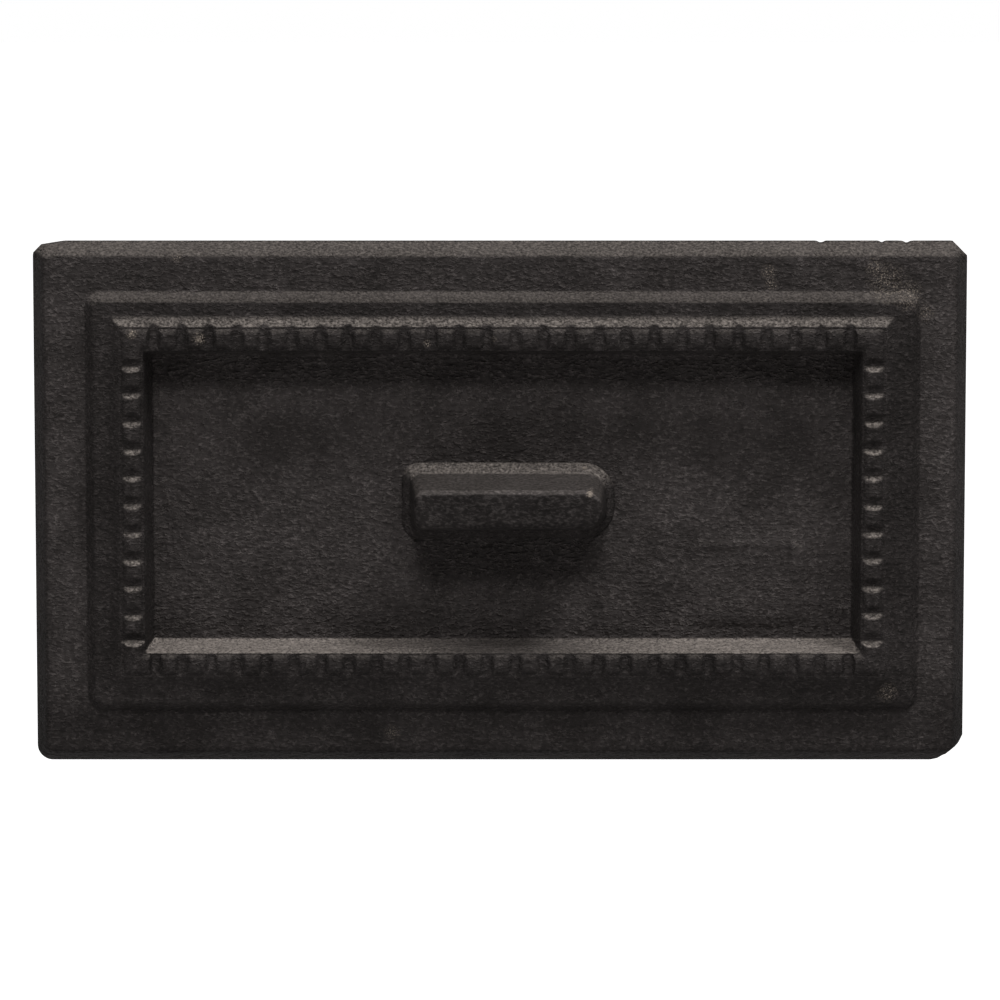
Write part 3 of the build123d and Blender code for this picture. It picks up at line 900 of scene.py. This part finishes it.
class SOOTDOOR_OT_wall_frame(bpy.types.Operator):
    """Gives the cast frame in the wall its finish"""
    bl_idname = "sootdoor.wall_frame"
    bl_label = "Wall Frame"

    def execute(self, context):
        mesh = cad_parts["frame"].data
        mesh.materials.clear()
        mesh.materials.append(bare_cast_iron(context.scene.sootdoor_finish))
        return {"FINISHED"}


class SOOTDOOR_OT_leaf_springs(bpy.types.Operator):
    """Gives the two leaf springs their finish"""
    bl_idname = "sootdoor.leaf_springs"
    bl_label = "Leaf Springs"

    def execute(self, context):
        steel = blued_spring_steel(context.scene.sootdoor_finish)
        for node in ("spring_left", "spring_right"):
            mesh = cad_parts[node].data
            mesh.materials.clear()
            mesh.materials.append(steel)
        return {"FINISHED"}


class SOOTDOOR_OT_rivets(bpy.types.Operator):
    """Makes the four domed rivets of the springs"""
    bl_idname = "sootdoor.rivets"
    bl_label = "Spring Rivets"

    def execute(self, context):
        sizes = context.scene.sootdoor_rivets
        reach_z = RIVETS_HIGH.z - sizes.head_radius
        middle_y = (RIVETS_LOW.y + RIVETS_HIGH.y) / 2
        places = [(side * RIVETS_HIGH.x, middle_y, high) for side in (-1, 1) for high in (-reach_z, reach_z)]
        made = new_mesh_object("spring_rivet_set", places, [])
        modifier = made.modifiers.new("Rivets", "NODES")
        modifier.node_group = rivet_tree()
        set_inputs(modifier, {
            "Head Radius": sizes.head_radius,
            "Head Height": sizes.head_height,
            "Shank Radius": sizes.shank_radius,
            "Grip": sizes.grip,
            "Tail Radius": sizes.tail_radius,
            "Tail Height": sizes.tail_height,
            "Material": heat_darkened_steel(context.scene.sootdoor_finish),
        })
        take_modifier_result(made)
        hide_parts("spring_rivets")
        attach(made, "lid_body")
        return {"FINISHED"}


def heat_darkened_steel(finish):
    """Soft steel rivets, hammered and darkened by heat: dull metal with small dents."""
    material, tree, surface = new_material("heat_darkened_steel")
    place = add(tree, "ShaderNodeTexCoord").outputs["Object"]
    dents = add(tree, "ShaderNodeTexNoise", {}, {"Vector": place, "Scale": 1 / (0.8 * MM)})
    bump = add(tree, "ShaderNodeBump", {}, {"Height": dents, "Strength": 0.5, "Distance": 0.1 * MM})
    feed(tree, surface, {"Base Color": finish.spring, "Metallic": 1.0, "Roughness": 0.5, "Normal": bump})
    return material


def rivet_tree():
    """A tree that sets a rivet on every point, its head turned away from the lid's middle."""
    tree, given = open_tree("Spring Rivets", ["Head Radius", "Head Height", "Shank Radius", "Grip",
                                              "Tail Radius", "Tail Height"])
    spot = add(tree, "ShaderNodeSeparateXYZ", {}, [add(tree, "GeometryNodeInputPosition")]).outputs
    # The rivet lies along +X with the top of its head at the origin
    known = dict(given.items())
    work_out(tree, known, [
        ("flatness", "DIVIDE", "Head Height", "Head Radius"),
        ("back", "MULTIPLY", "Head Height", -1.0),
        ("grip end", "SUBTRACT", "back", "Grip"),
        ("shank middle", "MULTIPLY_ADD", "Grip", -0.5, "back"),
        ("tail middle", "MULTIPLY_ADD", "Tail Height", -0.5, "grip end"),
        # Below its seat the ball of the head is pressed flat
        ("seat", "MAXIMUM", spot["X"], "back"),
        # On the left the rivet is turned round
        ("left", "LESS_THAN", spot["X"], 0.0),
        ("half turn", "MULTIPLY", "left", math.pi),
    ])
    ball = add(tree, "GeometryNodeMeshUVSphere", {},
               {"Segments": 32, "Rings": 16, "Radius": given["Head Radius"]})
    flat_ball = add(tree, "GeometryNodeTransform", {}, {
        "Geometry": ball,
        "Translation": add(tree, "ShaderNodeCombineXYZ", {}, [known["back"]]),
        "Scale": add(tree, "ShaderNodeCombineXYZ", {}, [known["flatness"], 1.0, 1.0]),
    })
    pressed = add(tree, "ShaderNodeCombineXYZ", {}, [known["seat"], spot["Y"], spot["Z"]])
    pieces = [add(tree, "GeometryNodeSetPosition", {}, {"Geometry": flat_ball, "Position": pressed})]
    for radius, depth, middle in (("Shank Radius", "Grip", "shank middle"),
                                  ("Tail Radius", "Tail Height", "tail middle")):
        rod = add(tree, "GeometryNodeMeshCylinder", {},
                  {"Vertices": 24, "Radius": given[radius], "Depth": given[depth]})
        at = add(tree, "ShaderNodeCombineXYZ", {}, [known[middle]])
        pieces.append(add(tree, "GeometryNodeTransform", {},
                          {"Geometry": rod, "Translation": at, "Rotation": (0, math.pi / 2, 0)}))
    whole = add(tree, "GeometryNodeJoinGeometry")
    for piece in pieces:
        feed(tree, whole, [piece])
    points = add(tree, "GeometryNodeMeshToPoints", {}, {"Mesh": given["Geometry"]})
    turn = add(tree, "ShaderNodeCombineXYZ", {}, {"Z": known["half turn"]})
    rivets = add(tree, "GeometryNodeInstanceOnPoints", {},
                 {"Points": points, "Instance": whole, "Rotation": turn})
    close_tree(tree, rivets, given)
    return tree


class SOOTDOOR_OT_studio(bpy.types.Operator):
    """Makes the floor, the lights, the surroundings and the camera"""
    bl_idname = "sootdoor.studio"
    bl_label = "Studio"

    def execute(self, context):
        studio = context.scene.sootdoor_studio
        pale_floor(studio)
        soft_lights(studio)
        white_surroundings(studio)
        camera_at_photograph(studio)
        context.scene.view_settings.view_transform = "Standard"
        return {"FINISHED"}


def seen_directly(tree):
    """1 for what the camera, a reflection or clear glass shows, 0 for what only gives light."""
    rays = add(tree, "ShaderNodeLightPath").outputs
    seen = rays["Is Camera Ray"]
    for ray in ("Is Glossy Ray", "Is Transmission Ray"):
        seen = add(tree, "ShaderNodeMath", {"operation": "MAXIMUM"}, [seen, rays[ray]])
    return seen


def pale_floor(studio):
    """A wide white floor, far enough below that the part's shadow falls out of the picture."""
    reach = 6.0
    corners = [(-reach, -reach), (reach, -reach), (reach, reach), (-reach, reach)]
    floor = new_mesh_object("studio_floor", [(x, y, -studio.floor_drop) for x, y in corners], [(0, 1, 2, 3)])
    material, tree, surface = new_material("studio_white")
    # The floor fades to the white of the surroundings away from the part and its shadow
    spot = add(tree, "ShaderNodeTexCoord").outputs["Object"]
    level = add(tree, "ShaderNodeVectorMath", {"operation": "MULTIPLY"}, [spot, (1, 1, 0)])
    away = add(tree, "ShaderNodeVectorMath", {"operation": "LENGTH"}, [level]).outputs["Value"]
    white = add(tree, "ShaderNodeMapRange", SMOOTH, [away, 0.25, 0.75, 0.55, 1.0])
    feed(tree, surface, {
        "Base Color": linear("#E6E6E6"),
        "Roughness": 0.9,
        "Emission Color": (1, 1, 1, 1),
        "Emission Strength": product(tree, seen_directly(tree), white),
    })
    floor.data.materials.append(material)


def soft_lights(studio):
    """Three soft lights from above: one in front, and two that graze the lid from the left and the right."""
    # Degrees to the right from straight above, degrees out of the plane of the wall, and watts
    lights = [
        ("light_front_top", 0, 46, 7.0),
        ("light_upper_left", -22, 16, 2.4),
        ("light_upper_right", 24, 17, 8.5),
    ]
    for name, sideways, outwards, power in lights:
        across_angle, out_angle = math.radians(sideways), math.radians(outwards)
        towards = Vector((math.sin(across_angle) * math.cos(out_angle), -math.sin(out_angle),
                          math.cos(across_angle) * math.cos(out_angle)))
        lamp = bpy.data.lights.new(name, "AREA")
        lamp.shape = "DISK"
        lamp.size = studio.lamp_width
        lamp.energy = power
        made = bpy.data.objects.new(name, lamp)
        made.location = towards * studio.lamp_distance
        made.rotation_euler = towards.to_track_quat("Z", "Y").to_euler()
        bpy.context.scene.collection.objects.link(made)


def white_surroundings(studio):
    """White where the camera and reflections see them, and a plain soft light elsewhere."""
    world = bpy.data.worlds.new("studio_surroundings")
    bpy.context.scene.world = world
    world.use_nodes = True
    tree = world.node_tree
    level = add(tree, "ShaderNodeMix", {}, {"Factor": seen_directly(tree), "A": studio.ambient, "B": 1.0})
    feed(tree, tree.nodes["Background"], {"Color": (1, 1, 1, 1), "Strength": level})


def camera_at_photograph(studio):
    """A long lens, a little above the lid's middle, square to its width."""
    camera = bpy.data.cameras.new("photograph_camera")
    made = bpy.data.objects.new("photograph_camera", camera)
    slope = studio.camera_elevation
    towards = Vector((0, -math.cos(slope), math.sin(slope)))
    made.location = Vector((0, PLATE_BACK, studio.camera_rise)) + towards * studio.camera_distance
    made.rotation_euler = towards.to_track_quat("Z", "Y").to_euler()
    camera.sensor_width = 36.0
    camera.lens = camera.sensor_width * studio.camera_distance / studio.picture_width
    camera.clip_end = 50.0
    bpy.context.scene.collection.objects.link(made)
    bpy.context.scene.camera = made


class SOOTDOOR_PT_panel(bpy.types.Panel):
    """Lists the pieces and their sizes"""
    bl_idname = "SOOTDOOR_PT_panel"
    bl_label = "Soot Door"
    bl_space_type = "VIEW_3D"
    bl_region_type = "UI"
    bl_category = "Soot Door"

    def draw(self, context):
        for operator in PIECES:
            self.layout.operator(operator.bl_idname)
        for name in SETTINGS:
            group = getattr(context.scene, name)
            box = self.layout.box()
            for setting in group.bl_rna.properties:
                if setting.identifier not in ("rna_type", "name"):
                    box.prop(group, setting.identifier)


PIECES = [
    SOOTDOOR_OT_lid_casting,
    SOOTDOOR_OT_wall_frame,
    SOOTDOOR_OT_leaf_springs,
    SOOTDOOR_OT_rivets,
    SOOTDOOR_OT_studio,
]
SETTINGS = {
    "sootdoor_lid": SOOTDOOR_LidSizes,
    "sootdoor_notches": SOOTDOOR_NotchSizes,
    "sootdoor_handle": SOOTDOOR_HandleSizes,
    "sootdoor_rivets": SOOTDOOR_RivetSizes,
    "sootdoor_finish": SOOTDOOR_Finish,
    "sootdoor_studio": SOOTDOOR_Studio,
}


def register():
    for name, group in SETTINGS.items():
        bpy.utils.register_class(group)
        setattr(bpy.types.Scene, name, PointerProperty(type=group))
    for item in [*PIECES, SOOTDOOR_PT_panel]:
        bpy.utils.register_class(item)


def unregister():
    for item in [SOOTDOOR_PT_panel, *reversed(PIECES)]:
        bpy.utils.unregister_class(item)
    for name, group in SETTINGS.items():
        delattr(bpy.types.Scene, name)
        bpy.utils.unregister_class(group)


def main():
    register()
    bpy.ops.sootdoor.lid_casting()
    bpy.ops.sootdoor.wall_frame()
    bpy.ops.sootdoor.leaf_springs()
    bpy.ops.sootdoor.rivets()
    bpy.ops.sootdoor.studio()
    bpy.context.view_layer.update()


if __name__ == "__main__":
    main()
